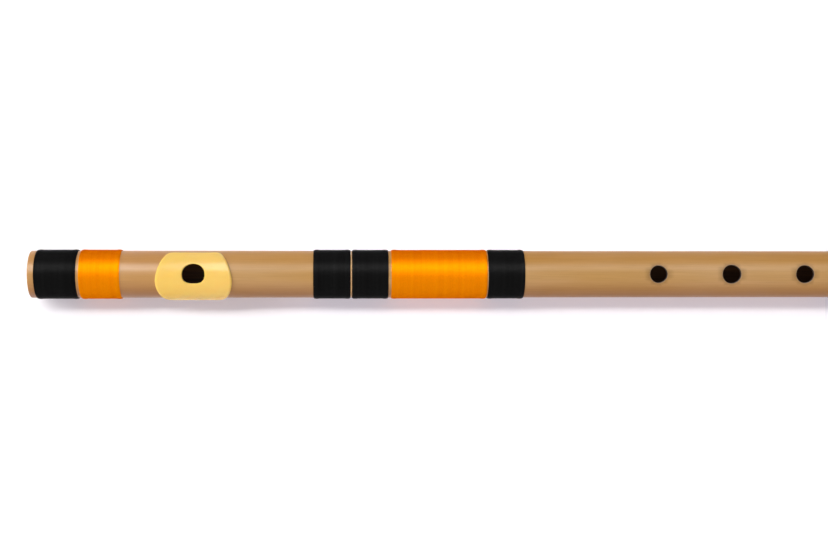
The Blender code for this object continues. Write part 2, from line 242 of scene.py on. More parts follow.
def coordinate(tree, axis):
    return node(tree, "ShaderNodeSeparateXYZ", {0: object_place(tree)}).outputs[axis]


def object_point(tree, per_metre):
    """The place on the object, scaled so that a pattern comes this often in a metre of X, Y and Z."""
    scaled = node(tree, "ShaderNodeMapping", {"Vector": object_place(tree), "Scale": per_metre})
    return scaled.outputs["Vector"]


def noise(tree, per_metre, detail, roughness=0.5):
    """Soft noise from 0 to 1."""
    made = node(tree, "ShaderNodeTexNoise", {"Vector": object_point(tree, per_metre), "Scale": 1.0,
                                             "Detail": detail, "Roughness": roughness})
    return made.outputs["Fac"]


def cells(tree, per_metre):
    """Outputs of a cell pattern: the distance to each cell's middle, and a colour for each cell."""
    return node(tree, "ShaderNodeTexVoronoi", {"Vector": object_point(tree, per_metre), "Scale": 1.0}).outputs


def mix(tree, factor, first, second, blend="MIX"):
    made = node(tree, "ShaderNodeMix", data_type="RGBA", blend_type=blend)
    for socket, value in ((0, factor), (6, first), (7, second)):
        if isinstance(value, bpy.types.NodeSocket):
            tree.links.new(value, made.inputs[socket])
        else:
            made.inputs[socket].default_value = value
    return made.outputs[2]


def calculate(tree, operation, first, second=0.0, third=0.0, clamp=False):
    return node(tree, "ShaderNodeMath", {0: first, 1: second, 2: third}, operation=operation,
                use_clamp=clamp).outputs[0]


def between(tree, value, start, end, low=0.0, high=1.0, smooth=True):
    """Low where the value is at start, high where it is at end, and neither less nor more past them."""
    return node(tree, "ShaderNodeMapRange", {"Value": value, "From Min": start, "From Max": end,
                                             "To Min": low, "To Max": high},
                interpolation_type="SMOOTHSTEP" if smooth else "LINEAR").outputs[0]


def tinted(tree, colour, axis, start, end, tint):
    """The colour, multiplied by a tint that comes in along an axis from one place to the other, in mm."""
    share = between(tree, coordinate(tree, axis), start * MM, end * MM)
    return mix(tree, share, colour, mix(tree, 1.0, colour, linear(tint), "MULTIPLY"))


def charred(tree, colour, burnt):
    """The colour, turned to the burnt one by the mesh's char attribute, which is 1 in the rim of a hole."""
    char = node(tree, "ShaderNodeAttribute", attribute_name="char").outputs["Fac"]
    return mix(tree, char, colour, linear(burnt))


def gloss_along(tree, shader, start, end, first, last):
    """A gloss that changes along the flute from one place to the other, in mm."""
    gloss = between(tree, coordinate(tree, "X"), start * MM, end * MM, first, last, smooth=False)
    tree.links.new(gloss, shader.inputs["Specular IOR Level"])


def bump(tree, shader, height, strength, distance):
    made = node(tree, "ShaderNodeBump", {"Height": height, "Strength": strength, "Distance": distance})
    tree.links.new(made.outputs["Normal"], shader.inputs["Normal"])


def lacquered_bamboo():
    """Skin of a bamboo culm, sanded and lacquered: faint fibre streaks 0.4 to 2.4 mm wide, satin gloss.

    Its near side is darker and redder and its far side yellower, both painted shade, and its lacquer
    glossier towards the head.
    """
    made, tree, shader = new_material("lacquered_bamboo_skin", 0.3, Specular_IOR_Level=0.2)
    streaks = noise(tree, (10, 420, 420), 5.0, 0.62)
    broad = noise(tree, (14, 55, 55), 2.0)
    fibres = noise(tree, (55, 2600, 2600), 3.0)
    base = ramp(tree, streaks, ((0.28, "AD844D"), (0.5, "B48C54"), (0.74, "B9925F")))
    tone = ramp(tree, broad, ((0.35, "AD844F"), (0.65, "B9956E")))
    colour = mix(tree, 0.45, base, tone)
    # Painted shade: the near side darker and redder, the far side darker in green and blue
    colour = tinted(tree, colour, "Y", -1, -11, "DDCBCA")
    colour = tinted(tree, colour, "Y", 2, 9, "FFF0D4")
    colour = tinted(tree, colour, "X", -192, -247, "FDF4E8")
    gloss_along(tree, shader, -247, -192, 0.36, 0.11)
    dark = ramp(tree, fibres, ((0.34, 0.86), (0.5, 1.0)))
    colour = mix(tree, 0.5, colour, mix(tree, 1.0, colour, dark, "MULTIPLY"))
    tree.links.new(charred(tree, colour, "3A2213"), shader.inputs["Base Color"])
    wave = calculate(tree, "MULTIPLY_ADD", broad, 5.0, third=streaks)
    bump(tree, shader, wave, 0.15, 0.2 * MM)
    return made


def cut_bamboo():
    """Bamboo cut across or sanded bare: pale, dotted with darker fibre bundles about 0.4 mm apart."""
    made, tree, shader = new_material("cut_bamboo_end", 0.62)
    bundles = cells(tree, (300, 2300, 2300))
    dots = ramp(tree, bundles["Distance"], ((0.12, "8A5E34"), (0.4, "D2A877")))
    tree.links.new(charred(tree, dots, "1C100A"), shader.inputs["Base Color"])
    bump(tree, shader, bundles["Distance"], 0.2, 0.1 * MM)
    return made


def bore_bamboo():
    """The reamed and oiled inside of the tube, darker still as painted shade in the holes, with fibres about
    1 mm wide drawn out along it.
    """
    made, tree, shader = new_material("oiled_bore_with_painted_shade", 0.6, Specular_IOR_Level=0.2)
    streaks = noise(tree, (30, 900, 900), 4.0)
    # Painted shade: the bore is darker than oiled bamboo, so the holes look black inside
    colour = ramp(tree, streaks, ((0.3, "1E120A"), (0.7, "382416")))
    tree.links.new(charred(tree, colour, "1C100A"), shader.inputs["Base Color"])
    bump(tree, shader, streaks, 0.25, 0.2 * MM)
    return made


def wound_thread(name, low, middle, high, painted_far_shade=None, **sockets):
    """Polished thread laid turn by turn: a silky gloss round the tube, and turns of slightly unlike tone.

    The tone changes about every 2 mm along the flute and the plies about every 0.4 mm. The far tint is
    painted shade, deepening the side away from the player.
    """
    made, tree, shader = new_material(name, **sockets)
    turns = noise(tree, (420, 5, 5), 2.0, 0.6)
    plies = noise(tree, (2400, 900, 900), 1.0)
    colour = ramp(tree, turns, ((0.3, low), (0.5, middle), (0.7, high)))
    colour = mix(tree, 1.0, colour, ramp(tree, plies, ((0.3, 0.93), (0.6, 1.0))), "MULTIPLY")
    if painted_far_shade:
        # Painted shade on the side away from the player
        colour = tinted(tree, colour, "Y", 4.5, 9.5, painted_far_shade)
    tree.links.new(colour, shader.inputs["Base Color"])
    bump(tree, shader, plies, 0.2, 0.1 * MM)
    return made


def cream_plastic():
    """Injection-moulded acrylic, polished: even cream colour with faint clouds about 6 mm wide.

    Its gloss is stronger on its side towards the joint.
    """
    made, tree, shader = new_material("polished_cream_acrylic", 0.25, IOR=1.49, Specular_IOR_Level=0.3,
                                      Subsurface_Weight=0.4, Subsurface_Scale=4 * MM,
                                      Subsurface_Radius=(1.0, 0.55, 0.25))
    cloud = noise(tree, (160, 160, 160), 3.0)
    colour = ramp(tree, cloud, ((0.3, "EEBE5F"), (0.7, "EEC264")))
    tree.links.new(colour, shader.inputs["Base Color"])
    gloss_along(tree, shader, -230, -200, 0.12, 0.4)
    bump(tree, shader, cloud, 0.05, 0.2 * MM)
    return made


def natural_cork():
    """Cut cork: tan granules 1 to 2 mm across with dark pores."""
    made, tree, shader = new_material("natural_cork", 0.85)
    grains = ramp(tree, cells(tree, (800, 800, 800))["Color"], ((0.2, "A77A4C"), (0.8, "C79B68")))
    pores = noise(tree, (1500, 1500, 1500), 3.0)
    colour = mix(tree, 0.6, grains, ramp(tree, pores, ((0.36, "5F3F22"), (0.46, "BE905E"))))
    tree.links.new(colour, shader.inputs["Base Color"])
    bump(tree, shader, pores, 0.6, 0.3 * MM)
    return made


def drawn_brass():
    """Thin-walled brass tube as drawn, with fine rings from fitting, 0.1 mm apart."""
    made, tree, shader = new_material("drawn_brass_tube", 0.28, Metallic=1.0)
    rings = noise(tree, (9000, 40, 40), 2.0)
    colour = ramp(tree, rings, ((0.3, "B8923F"), (0.7, "D9B65C")))
    tree.links.new(colour, shader.inputs["Base Color"])
    bump(tree, shader, rings, 0.2, 0.1 * MM)
    return made


def add_mesh(name, work, materials, smooth_angle):
    """The mesh as an object at the origin, shaded smooth up to an angle in degrees."""
    mesh = bpy.data.meshes.new(name)
    work.to_mesh(mesh)
    work.free()
    made = bpy.data.objects.new(name, mesh)
    bpy.context.scene.collection.objects.link(made)
    for finish in materials:
        mesh.materials.append(finish)
    mesh.shade_smooth()
    mesh.set_sharp_from_angle(angle=math.radians(smooth_angle))
    return made


def around(count, start=0.0):
    """Angles of this many points all the way round."""
    return [2 * math.pi * k / count + start for k in range(count)]


def quarter(steps):
    """Angles from 0 to a quarter turn in this many steps, for a rounded edge."""
    return [math.pi / 2 * step / steps for step in range(steps + 1)]


def on_tube(x, angle, radius):
    """A point round the flute's axis, at an angle from straight up towards the far side."""
    return Vector((x, AXIS_Y + radius * math.sin(angle), AXIS_Z + radius * math.cos(angle)))


def tube_ring(work, x, radius, count, start=0.0):
    """Vertices all the way round the flute's axis."""
    return [work.verts.new(on_tube(x, angle, radius)) for angle in around(count, start)]


def bridge(work, first, second, slot=0):
    """Faces all round between two rings of vertices. Either may be a single vertex on the axis."""
    count = max(len(first), len(second))
    for k in range(count):
        after = (k + 1) % count
        corners = (first[k % len(first)], second[k % len(second)],
                   second[after % len(second)], first[after % len(first)])
        face = work.faces.new(list(dict.fromkeys(corners)))
        face.material_index = slot


def round_outline(radius, count):
    return [(radius * math.cos(angle), radius * math.sin(angle)) for angle in around(count)]


def signed_power(value, power):
    return math.copysign(abs(value) ** power, value)


def mouth_outline(count):
    """The mouth hole seen square on: round on its far side (+Y), squarer and flatter on its near side."""
    outline = []
    for angle in around(count):
        far = math.sin(angle) > 0
        power = 2 / (MOUTH_FAR_SQUARENESS if far else MOUTH_NEAR_SQUARENESS)
        reach = MOUTH_FAR_REACH if far else MOUTH_NEAR_REACH
        outline.append((MOUTH_HALF_LENGTH * signed_power(math.cos(angle), power),
                        reach * signed_power(math.sin(angle), power)))
    return outline


def grown(outline, distance):
    """The outline moved outwards by a distance."""
    points = np.array(outline)
    along = np.roll(points, -1, 0) - np.roll(points, 1, 0)
    along /= np.linalg.norm(along, axis=1)[:, None]
    return points + distance * np.stack([along[:, 1], -along[:, 0]], 1)


def within(point, outline):
    """True where a point is inside an outline of flat points."""
    shape = np.array(outline)
    following = np.roll(shape, -1, 0)
    crosses = (shape[:, 1] > point[1]) != (following[:, 1] > point[1])
    if not crosses.any():
        return False
    first, second = shape[crosses], following[crosses]
    rise = (point[1] - first[:, 1]) / (second[:, 1] - first[:, 1])
    return bool(np.sum(point[0] < first[:, 0] + rise * (second[:, 0] - first[:, 0])) % 2)


def pierced_sheet(start, end, radius_at, holes):
    """A tube surface cut open along its underside and laid flat as (x, angle from the top), with holes.

    Each hole is a list of flat points. Returns points, triangles and each hole's point indices.
    """
    flat, edges, hole_rings = [], [], []
    for hole in holes:
        ring = list(range(len(flat), len(flat) + len(hole)))
        flat += [tuple(point) for point in hole]
        hole_rings.append(ring)
        edges += [(ring[k], ring[(k + 1) % len(ring)]) for k in range(len(ring))]
    columns = max(2, round((end - start) / TUBE_STEP))
    centres = [np.mean(hole, 0) for hole in holes]
    sizes = [np.max(np.abs(np.array(hole) - centre), 0) for hole, centre in zip(holes, centres)]
    for column in range(columns + 1):
        x = start + (end - start) * column / columns
        clear = np.array([HOLE_CLEARANCE, HOLE_CLEARANCE / radius_at(x)])
        for segment in range(TUBE_SEGMENTS + 1):
            angle = 2 * math.pi * segment / TUBE_SEGMENTS - math.pi
            offs = [(np.array([x, angle]) - centre) / (size + clear) for centre, size in zip(centres, sizes)]
            if all(float(off @ off) >= 1 for off in offs):
                flat.append((x, angle))

    # Lengths are turned to angles too, so that triangles come out even
    scale = radius_at(start)
    scaled = [Vector((x / scale, angle)) for x, angle in flat]
    corners, _, triangles, sources, _, _ = delaunay_2d_cdt(scaled, edges, [], 0, FLAT_TOLERANCE)
    kept = []
    for face in triangles:
        middle = sum((corners[index] for index in face), Vector((0, 0))) / len(face)
        point = (middle.x * scale, middle.y)
        near = [hole for hole, centre in zip(holes, centres) if abs(point[0] - centre[0]) < HOLE_SEARCH]
        if not any(within(point, hole) for hole in near):
            kept.append(face)
    points = [(corner.x * scale, corner.y) for corner in corners]
    origin = {old: new for new, olds in enumerate(sources) for old in olds}
    return points, kept, [[origin[index] for index in ring] for ring in hole_rings]


def add_sheet(work, reach, radius_at, outlines, slot, inward):
    """Adds a pierced tube surface that faces inwards or outwards. Returns the vertices round each hole."""
    points, faces, rings = pierced_sheet(*reach, radius_at, outlines)
    vertices = [work.verts.new(on_tube(x, angle, radius_at(x))) for x, angle in points]
    for face in faces:
        made = work.faces.new([vertices[index] for index in (face if inward else reversed(face))])
        made.material_index = slot
    return [[vertices[index] for index in ring] for ring in rings]


def chimney_ring(work, x, outline, radius_at, lift):
    """Vertices of an upright outline where it meets a tube surface, lifted by a height."""
    ring = []
    for px, py in outline:
        height = math.sqrt(radius_at(x + px) ** 2 - py**2) + lift
        ring.append(work.verts.new((x + px, AXIS_Y + py, AXIS_Z + height)))
    return ring


def hole_wall(work, char, x, outline, top, bottom):
    """A hole's wall: from the ring in the skin round its lip, down, and out to the ring in the bore."""
    levels = [top]
    for turn in quarter(ROUND_STEPS)[1:]:
        ring = grown(outline, HOLE_LIP * (1 - math.sin(turn)))
        levels.append(chimney_ring(work, x, ring, tube_radius, -HOLE_LIP * (1 - math.cos(turn))))
    levels.append(chimney_ring(work, x, outline, bore_radius, INNER_LIP_HEIGHT))
    levels.append(bottom)
    for level, burnt in zip(levels, HOLE_CHAR):
        for vertex in level:
            vertex[char] = burnt
    for upper, lower in zip(levels, levels[1:]):
        bridge(work, upper, lower, CUT)


def tube_piece(name, replaced, body, outside, inside, holes, ends, materials):
    """A bamboo tube with rounded holes. Outside and inside are the reaches of its skin and its bore along X.

    Holes are (x, outline). Each end is a list of (x, radius, finish of the strip that follows).
    """
    work = bmesh.new()
    char = work.verts.layers.float.new("char")
    outer_holes = [[(x + px, math.asin(py / tube_radius(x + px))) for px, py in grown(outline, HOLE_LIP)]
                   for x, outline in holes]
    inner_holes = [[(x + px, math.asin(py / BORE_RADIUS)) for px, py in grown(outline, INNER_LIP_WIDTH)]
                   for x, outline in holes]
    tops = add_sheet(work, outside, tube_radius, outer_holes, SKIN, False)
    bottoms = add_sheet(work, inside, bore_radius, inner_holes, BORE, True)
    for (x, outline), top, bottom in zip(holes, tops, bottoms):
        hole_wall(work, char, x, outline, top, bottom)
    for end in ends:
        rings = [tube_ring(work, x, radius, TUBE_SEGMENTS, -math.pi) for x, radius, _ in end]
        for (_, _, finish), first, second in zip(end, rings, rings[1:]):
            bridge(work, first, second, finish)
    bmesh.ops.remove_doubles(work, verts=work.verts, dist=MERGE_DISTANCE)
    bmesh.ops.recalc_face_normals(work, faces=work.faces)
    made = add_mesh(name, work, materials, 40)
    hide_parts(replaced)
    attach(made, body)


def open_end(end, inward):
    """A tube's rounded open end, from skin to bore. Inward is +1 at the head's end and -1 at the foot's."""
    points = []
    for step, turn in enumerate(quarter(ROUND_STEPS)):
        points.append((end + inward * END_ROUND * (1 - math.sin(turn)),
                       tube_radius(end) - END_ROUND * (1 - math.cos(turn)),
                       SKIN if step < ROUND_STEPS // 2 else CUT))
    return [*points,
            (end, BORE_RADIUS + BORE_CHAMFER, CUT),
            (end + inward * BORE_CHAMFER, BORE_RADIUS, BORE)]


def joint_end(end, inward, sanded, depth):
    """A tube's end at the joint: a ring sanded bare beside the binding, a broken edge and the counterbore."""
    return [(end + inward * sanded, tube_radius(end), CUT),
            (end + inward * JOINT_CHAMFER, tube_radius(end), CUT),
            (end, tube_radius(end) - JOINT_CHAMFER, CUT),
            (end, COUNTERBORE_RADIUS, BORE),
            (end + inward * depth, COUNTERBORE_RADIUS, CUT),
            (end + inward * depth, BORE_RADIUS, BORE)]


def bamboo_tubes(materials):
    """Both halves of the flute. Materials are those of skin, cut faces and bore."""
    joint, body_start = HEAD_HIGH[0], BODY_LOW[0]
    depth = joint - SLEEVE_LOW[0] + COUNTERBORE_SPARE
    head_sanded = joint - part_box("upper_joint_binding_black")[1][0]
    body_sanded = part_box("lower_joint_binding_black")[0][0] - body_start
    mouth = (MOUTH_X, mouth_outline(HOLE_POINTS))
    tube_piece("head_tube_bamboo", "head_tube", "head_section",
               (HEAD_END + END_ROUND, joint - head_sanded),
               (HEAD_END + BORE_CHAMFER, joint - depth), [mouth],
               (open_end(HEAD_END, 1), joint_end(joint, -1, head_sanded, depth)), materials)
    holes = [(HEAD_END + place * MM, round_outline(width * MM / 2, HOLE_POINTS))
             for place, width in zip(HOLE_PLACES, HOLE_WIDTHS)]
    tube_piece("body_tube_bamboo", "body_tube", "body_section",
               (body_start + body_sanded, FOOT_END - END_ROUND),
               (body_start + depth, FOOT_END - BORE_CHAMFER), holes,
               (joint_end(body_start, 1, body_sanded, depth), open_end(FOOT_END, -1)), materials)


def winding_tree():
    """Geometry Nodes: one thread wound evenly over a tapering round that falls off at both ends."""
    tree = bpy.data.node_groups.new("close_winding", "GeometryNodeTree")
    tree.interface.new_socket("Geometry", in_out="OUTPUT", socket_type="NodeSocketGeometry")
    wants = (("Start Radius", "Float"), ("End Radius", "Float"), ("Length", "Float"), ("Turns", "Float"),
             ("Thread Width", "Float"), ("Thread Height", "Float"),
             ("Shoulder", "Float"), ("Shoulder Drop", "Float"),
             ("Saddle", "Float"), ("Saddle From", "Float"), ("Saddle To", "Float"),
             ("Points per Turn", "Int"), ("Sides", "Int"),
             ("Unevenness", "Float"), ("Seed", "Float"), ("Finish", "Material"))
    for name, kind in wants:
        tree.interface.new_socket(name, in_out="INPUT", socket_type="NodeSocket" + kind)
    given = node(tree, "NodeGroupInput").outputs

    # The spiral has one turn more at each end, which lies straight across so that the winding ends square
    pitch = calculate(tree, "DIVIDE", given["Length"], given["Turns"])
    spiral = node(tree, "GeometryNodeCurveSpiral", {
        "Resolution": given["Points per Turn"], "Rotations": calculate(tree, "ADD", given["Turns"], 2.0),
        "Start Radius": given["Start Radius"], "End Radius": given["End Radius"],
        "Height": calculate(tree, "MULTIPLY_ADD", pitch, 2.0, third=given["Length"])})
    place = node(tree, "GeometryNodeInputPosition").outputs[0]
    split = node(tree, "ShaderNodeSeparateXYZ", {0: place})
    past_start = calculate(tree, "MAXIMUM", calculate(tree, "SUBTRACT", split.outputs["Z"], pitch), 0.0)
    along = calculate(tree, "MINIMUM", past_start, given["Length"])

    # How far the winding falls: its rounded shoulders, and the saddle past them
    to_end = calculate(tree, "MINIMUM", along, calculate(tree, "SUBTRACT", given["Length"], along))
    past = calculate(tree, "DIVIDE", to_end, given["Shoulder"])
    left = calculate(tree, "SUBTRACT", 1.0, past, clamp=True)
    under = calculate(tree, "SUBTRACT", 1.0, calculate(tree, "MULTIPLY", left, left))
    round_off = calculate(tree, "SUBTRACT", 1.0, calculate(tree, "SQRT", under))
    saddle = between(tree, to_end, given["Saddle From"], given["Saddle To"], 0.0, given["Saddle"])
    fall = calculate(tree, "MULTIPLY_ADD", round_off, given["Shoulder Drop"], third=saddle)

    # Each point moves inwards by that fall and by a little unevenness from turn to turn
    lay = node(tree, "ShaderNodeTexNoise", {"W": calculate(tree, "ADD", along, given["Seed"]),
                                            "Scale": UNEVEN_PER_METRE, "Detail": 2.0}, noise_dimensions="1D")
    sink = calculate(tree, "MULTIPLY", lay.outputs[0], given["Unevenness"])
    inwards = calculate(tree, "MULTIPLY", calculate(tree, "ADD", fall, sink), -1.0)
    across = node(tree, "ShaderNodeCombineXYZ", {0: split.outputs["X"], 1: split.outputs["Y"]}).outputs[0]
    outwards = node(tree, "ShaderNodeVectorMath", {0: across}, operation="NORMALIZE").outputs[0]
    shift = node(tree, "ShaderNodeVectorMath", {0: outwards, "Scale": inwards}, operation="SCALE").outputs[0]
    level = node(tree, "ShaderNodeCombineXYZ", {2: along}).outputs[0]
    shifted = node(tree, "ShaderNodeVectorMath", {0: across, 1: shift}, operation="ADD").outputs[0]
    laid = node(tree, "ShaderNodeVectorMath", {0: shifted, 1: level}, operation="ADD").outputs[0]

    # The flattened thread along that path
    moved = node(tree, "GeometryNodeSetPosition", {"Geometry": spiral.outputs[0], "Position": laid})
    upright = node(tree, "GeometryNodeSetCurveNormal", {"Curve": moved.outputs[0]}, mode="Z_UP")
    circle = node(tree, "GeometryNodeCurvePrimitiveCircle", {"Resolution": given["Sides"], "Radius": 0.5},
                  mode="RADIUS")
    size = node(tree, "ShaderNodeCombineXYZ", {0: given["Thread Height"], 1: given["Thread Width"], 2: 1.0})
    section = node(tree, "GeometryNodeTransform", {"Geometry": circle.outputs[0], "Scale": size.outputs[0]})
    tube = node(tree, "GeometryNodeCurveToMesh", {"Curve": upright.outputs[0],
                                                  "Profile Curve": section.outputs[0], "Fill Caps": True})
    whole = node(tree, "GeometryNodeRealizeInstances", {"Geometry": tube.outputs[0]})
    dressed = node(tree, "GeometryNodeSetMaterial", {"Geometry": whole.outputs[0],
                                                     "Material": given["Finish"]})
    node(tree, "NodeGroupOutput", {0: dressed.outputs[0]})
    return tree


def winding(tree, name, body, finish, seed):
    """A binding: one long thread wound over a bed of itself."""
    low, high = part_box(name)
    start, end = low[0] + THREAD_WIDTH / 2, high[0] - THREAD_WIDTH / 2
    holder = bpy.data.objects.new(name + "_thread", bpy.data.meshes.new(name))
    bpy.context.scene.collection.objects.link(holder)
    maker = holder.modifiers.new("winding", "NODES")
    maker.node_group = tree
    values = {"Start Radius": tube_radius(start) + BINDING_PROUD - THREAD_HEIGHT / 2,
              "End Radius": tube_radius(end) + BINDING_PROUD - THREAD_HEIGHT / 2,
              "Length": end - start, "Turns": float(round((end - start) / THREAD_PITCH)),
              "Thread Width": THREAD_WIDTH, "Thread Height": THREAD_HEIGHT,
              "Shoulder": SHOULDER, "Shoulder Drop": SHOULDER_DROP,
              "Saddle": SADDLE, "Saddle From": SADDLE_FROM, "Saddle To": SADDLE_TO,
              "Points per Turn": POINTS_PER_TURN, "Sides": THREAD_SIDES, "Unevenness": UNEVENNESS,
              "Seed": seed, "Finish": finish}
    for item in tree.interface.items_tree:
        if item.in_out == "INPUT":
            maker[item.identifier] = values[item.name]
    graph = bpy.context.evaluated_depsgraph_get()
    mesh = bpy.data.meshes.new_from_object(holder.evaluated_get(graph), depsgraph=graph)
    bpy.data.objects.remove(holder)

    work = bmesh.new()
    work.from_mesh(mesh)
    bpy.data.meshes.remove(mesh)
    for vertex in work.verts:
        x, y, z = vertex.co
        vertex.co = (start + z, AXIS_Y + y, AXIS_Z - x)
    winding_bed(work, start, end)
    made = add_mesh(name + "_thread", work, (finish,), 65)
    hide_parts(name)
    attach(made, body)


def winding_fall(to_end):
    """How far a winding lies below its ridge, as in its tree: at the rounded shoulder and in the saddle."""
    left = max(0.0, 1 - to_end / SHOULDER)
    past = min(1.0, max(0.0, (to_end - SADDLE_FROM) / (SADDLE_TO - SADDLE_FROM)))
    return SHOULDER_DROP * (1 - math.sqrt(1 - left * left)) + SADDLE * past * past * (3 - 2 * past)


def winding_bed(work, start, end):
    """The under-layer of the winding: a closed ring whose face lies a little below the turns' crests."""
    steps = [k / BED_STEPS for k in range(BED_STEPS + 1)]
    inward = [SHOULDER * share**2 for share in steps]
    inward += [SADDLE_FROM + (SADDLE_TO - SADDLE_FROM) * share for share in steps]
    places = [*[(start + step, step) for step in inward], *[(end - step, step) for step in reversed(inward)]]
    profile = [(x, tube_radius(x) + BINDING_PROUD - BED_DEPTH - winding_fall(step)) for x, step in places]
    profile += [(x, tube_radius(x) + BED_LIFT) for x in (end, start)]
    rings = [tube_ring(work, x, radius, BED_SIDES) for x, radius in profile]
    for first, second in zip(rings, rings[1:] + rings[:1]):
        bridge(work, first, second)


def plate_outline(half_length, half_arc):
    """The lip plate laid flat: a square with rounded corners, stretched, whose sides bow out."""
    outline = []
    for angle in around(PLATE_POINTS):
        run, rise = math.cos(angle), math.sin(angle)
        sharp = PLATE_CORNER_SHARPNESS
        reach = (abs(run) ** sharp + abs(rise) ** sharp) ** (-1 / sharp)
        drawn_in = PLATE_DRAWN_IN * abs(reach * rise) ** PLATE_BOW_POWER
        outline.append((reach * run * (half_length - drawn_in), reach * rise * half_arc))
    return outline


def lip_plate(finish):
    """The moulded saddle: rings from the mouth hole's rounded rim to the bevelled edge and back under."""
    inner = tube_radius(PLATE_LOW[0]) + PLATE_LIFT
    outer = PLATE_HIGH[2] - AXIS_Z - PLATE_BOX_MARGIN
    thickness = outer - inner
    mouth = np.array([(x, outer * math.asin(y / outer)) for x, y in mouth_outline(PLATE_POINTS)])
    outline = plate_outline((PLATE_HIGH[0] - PLATE_LOW[0]) / 2, outer * PLATE_HALF_WRAP)
    edge = np.array(outline) - (0, outer * PLATE_TILT)
    gaps = np.linalg.norm(edge - mouth, axis=1)
    work = bmesh.new()
    rings = []

    def ring(shares, radius, upright=0.0):
        """Vertices at shares of the ways from mouth hole to edge. Upright sets them plumb with the face."""
        made = []
        for x, arc in mouth + (edge - mouth) * np.broadcast_to(shares, gaps.shape)[:, None]:
            angle = arc / outer
            plumb = math.asin(max(-1, min(1, outer * math.sin(angle) / radius)))
            made.append(work.verts.new(on_tube(MOUTH_X + x, angle + (plumb - angle) * upright, radius)))
        rings.append(made)

    for turn in quarter(PLATE_RIM_STEPS):
        ring(PLATE_RIM * (1 - math.cos(turn)) / gaps, outer - PLATE_RIM * (1 - math.sin(turn)), 1.0)
    face = np.linspace(PLATE_FACE_FROM, PLATE_FACE_TO, PLATE_BANDS)[1:]
    for share in face:
        ring(share, outer, max(0.0, 1 - share / PLATE_PLUMB_SHARE))
    for turn in quarter(PLATE_BEVEL_STEPS):
        drop = (thickness - PLATE_EDGE) * (1 - math.cos(turn))
        ring(1 - PLATE_BEVEL * (1 - math.sin(turn)) / gaps, outer - drop)
    ring(1 - PLATE_UNDERCUT / gaps, inner + PLATE_UNDERCUT_LIFT)
    for share in reversed(face):
        ring(share, inner, max(0.0, 1 - share / PLATE_PLUMB_SHARE))
    ring(0.0, inner, 1.0)
    ring(0.0, inner + thickness * PLATE_WALL_RING, 1.0)

    for first, second in zip(rings, rings[1:] + rings[:1]):
        bridge(work, first, second)
    bmesh.ops.recalc_face_normals(work, faces=work.faces)
    made = add_mesh("lip_plate_moulding", work, (finish,), 50)
    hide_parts("lip_plate")
    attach(made, "head_section")


def turned_piece(name, replaced, body, profile, finish):
    """A piece turned round the flute's axis from (x, radius) points, closed on itself or on the axis."""
    work = bmesh.new()
    rings = [tube_ring(work, x, radius, TURNED_SIDES if radius else 1) for x, radius in profile]
    for first, second in zip(rings, rings[1:]):
        bridge(work, first, second)
    if profile[0][1]:
        bridge(work, rings[-1], rings[0])
    bmesh.ops.recalc_face_normals(work, faces=work.faces)
    made = add_mesh(name, work, (finish,), 40)
    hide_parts(replaced)
    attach(made, body)


def inner_pieces(cork, brass):
    """The stopper cork with rounded ends, and the sleeve that joins the two halves."""
    radius = BORE_RADIUS - CORK_GAP
    rounded = [(CORK_EDGE * (1 - math.sin(turn)), radius - CORK_EDGE * (1 - math.cos(turn)))
               for turn in quarter(ROUND_STEPS)]
    profile = [(CORK_LOW[0], 0), (CORK_LOW[0], radius * CORK_FLAT_SHARE),
               *[(CORK_LOW[0] + inset, reach) for inset, reach in reversed(rounded)],
               *[(CORK_HIGH[0] - inset, reach) for inset, reach in rounded],
               (CORK_HIGH[0], radius * CORK_FLAT_SHARE), (CORK_HIGH[0], 0)]
    turned_piece("stopper_cork_plug", "stopper_cork", "stopper", profile, cork)
    outside = BORE_RADIUS + SLEEVE_WALL
    profile = [(SLEEVE_LOW[0], outside - SLEEVE_EDGE), (SLEEVE_LOW[0] + SLEEVE_EDGE, outside),
               (SLEEVE_HIGH[0] - SLEEVE_EDGE, outside), (SLEEVE_HIGH[0], outside - SLEEVE_EDGE),
               (SLEEVE_HIGH[0], BORE_RADIUS), (SLEEVE_LOW[0], BORE_RADIUS)]
    turned_piece("connector_sleeve_tube", "connector_sleeve", "connector", profile, brass)


def backdrop_rays(tree):
    """1 for rays that show the background: those of the camera, of gloss and through clear things."""
    path = node(tree, "ShaderNodeLightPath").outputs
    seen = calculate(tree, "MAXIMUM", path["Is Camera Ray"], path["Is Glossy Ray"])
    return calculate(tree, "MAXIMUM", seen, path["Is Transmission Ray"])


def floor():
    """A plain white table that keeps the flute's soft shadow and is otherwise as white as the photograph.

    The glow near the flute is painted light: it is mauve, tinting the shadow, and stronger from the joint on,
    where the shadow is a little lighter.
    """
    work = bmesh.new()
    bmesh.ops.create_grid(work, x_segments=1, y_segments=1, size=FLOOR_HALF_SIZE)
    mesh = bpy.data.meshes.new("floor")
    work.to_mesh(mesh)
    work.free()
    made = bpy.data.objects.new("floor", mesh)
    bpy.context.scene.collection.objects.link(made)
    finish = bpy.data.materials.new("white_table")
    finish.use_nodes = True
    tree = finish.node_tree
    tree.nodes.clear()
    diffuse = node(tree, "ShaderNodeBsdfDiffuse", {"Color": linear("EBECED")})
    away = node(tree, "ShaderNodeVectorMath", {0: object_place(tree)}, operation="LENGTH").outputs["Value"]
    least = between(tree, coordinate(tree, "X"), GLOW_FROM, GLOW_TO, HEAD_GLOW, JOINT_GLOW)
    white = between(tree, away, WHITE_FROM, WHITE_TO, least)
    strength = calculate(tree, "MULTIPLY", backdrop_rays(tree), white)
    # Painted shadow colour: near the flute the glow is mauve, which tints the flute's shadow
    hue = mix(tree, white, linear("F5DDFF"), linear("FFFFFF"))
    glow = node(tree, "ShaderNodeEmission", {"Color": hue, "Strength": strength})
    both = node(tree, "ShaderNodeAddShader", {0: diffuse.outputs[0], 1: glow.outputs[0]})
    node(tree, "ShaderNodeOutputMaterial", {"Surface": both.outputs[0]})
    mesh.materials.append(finish)


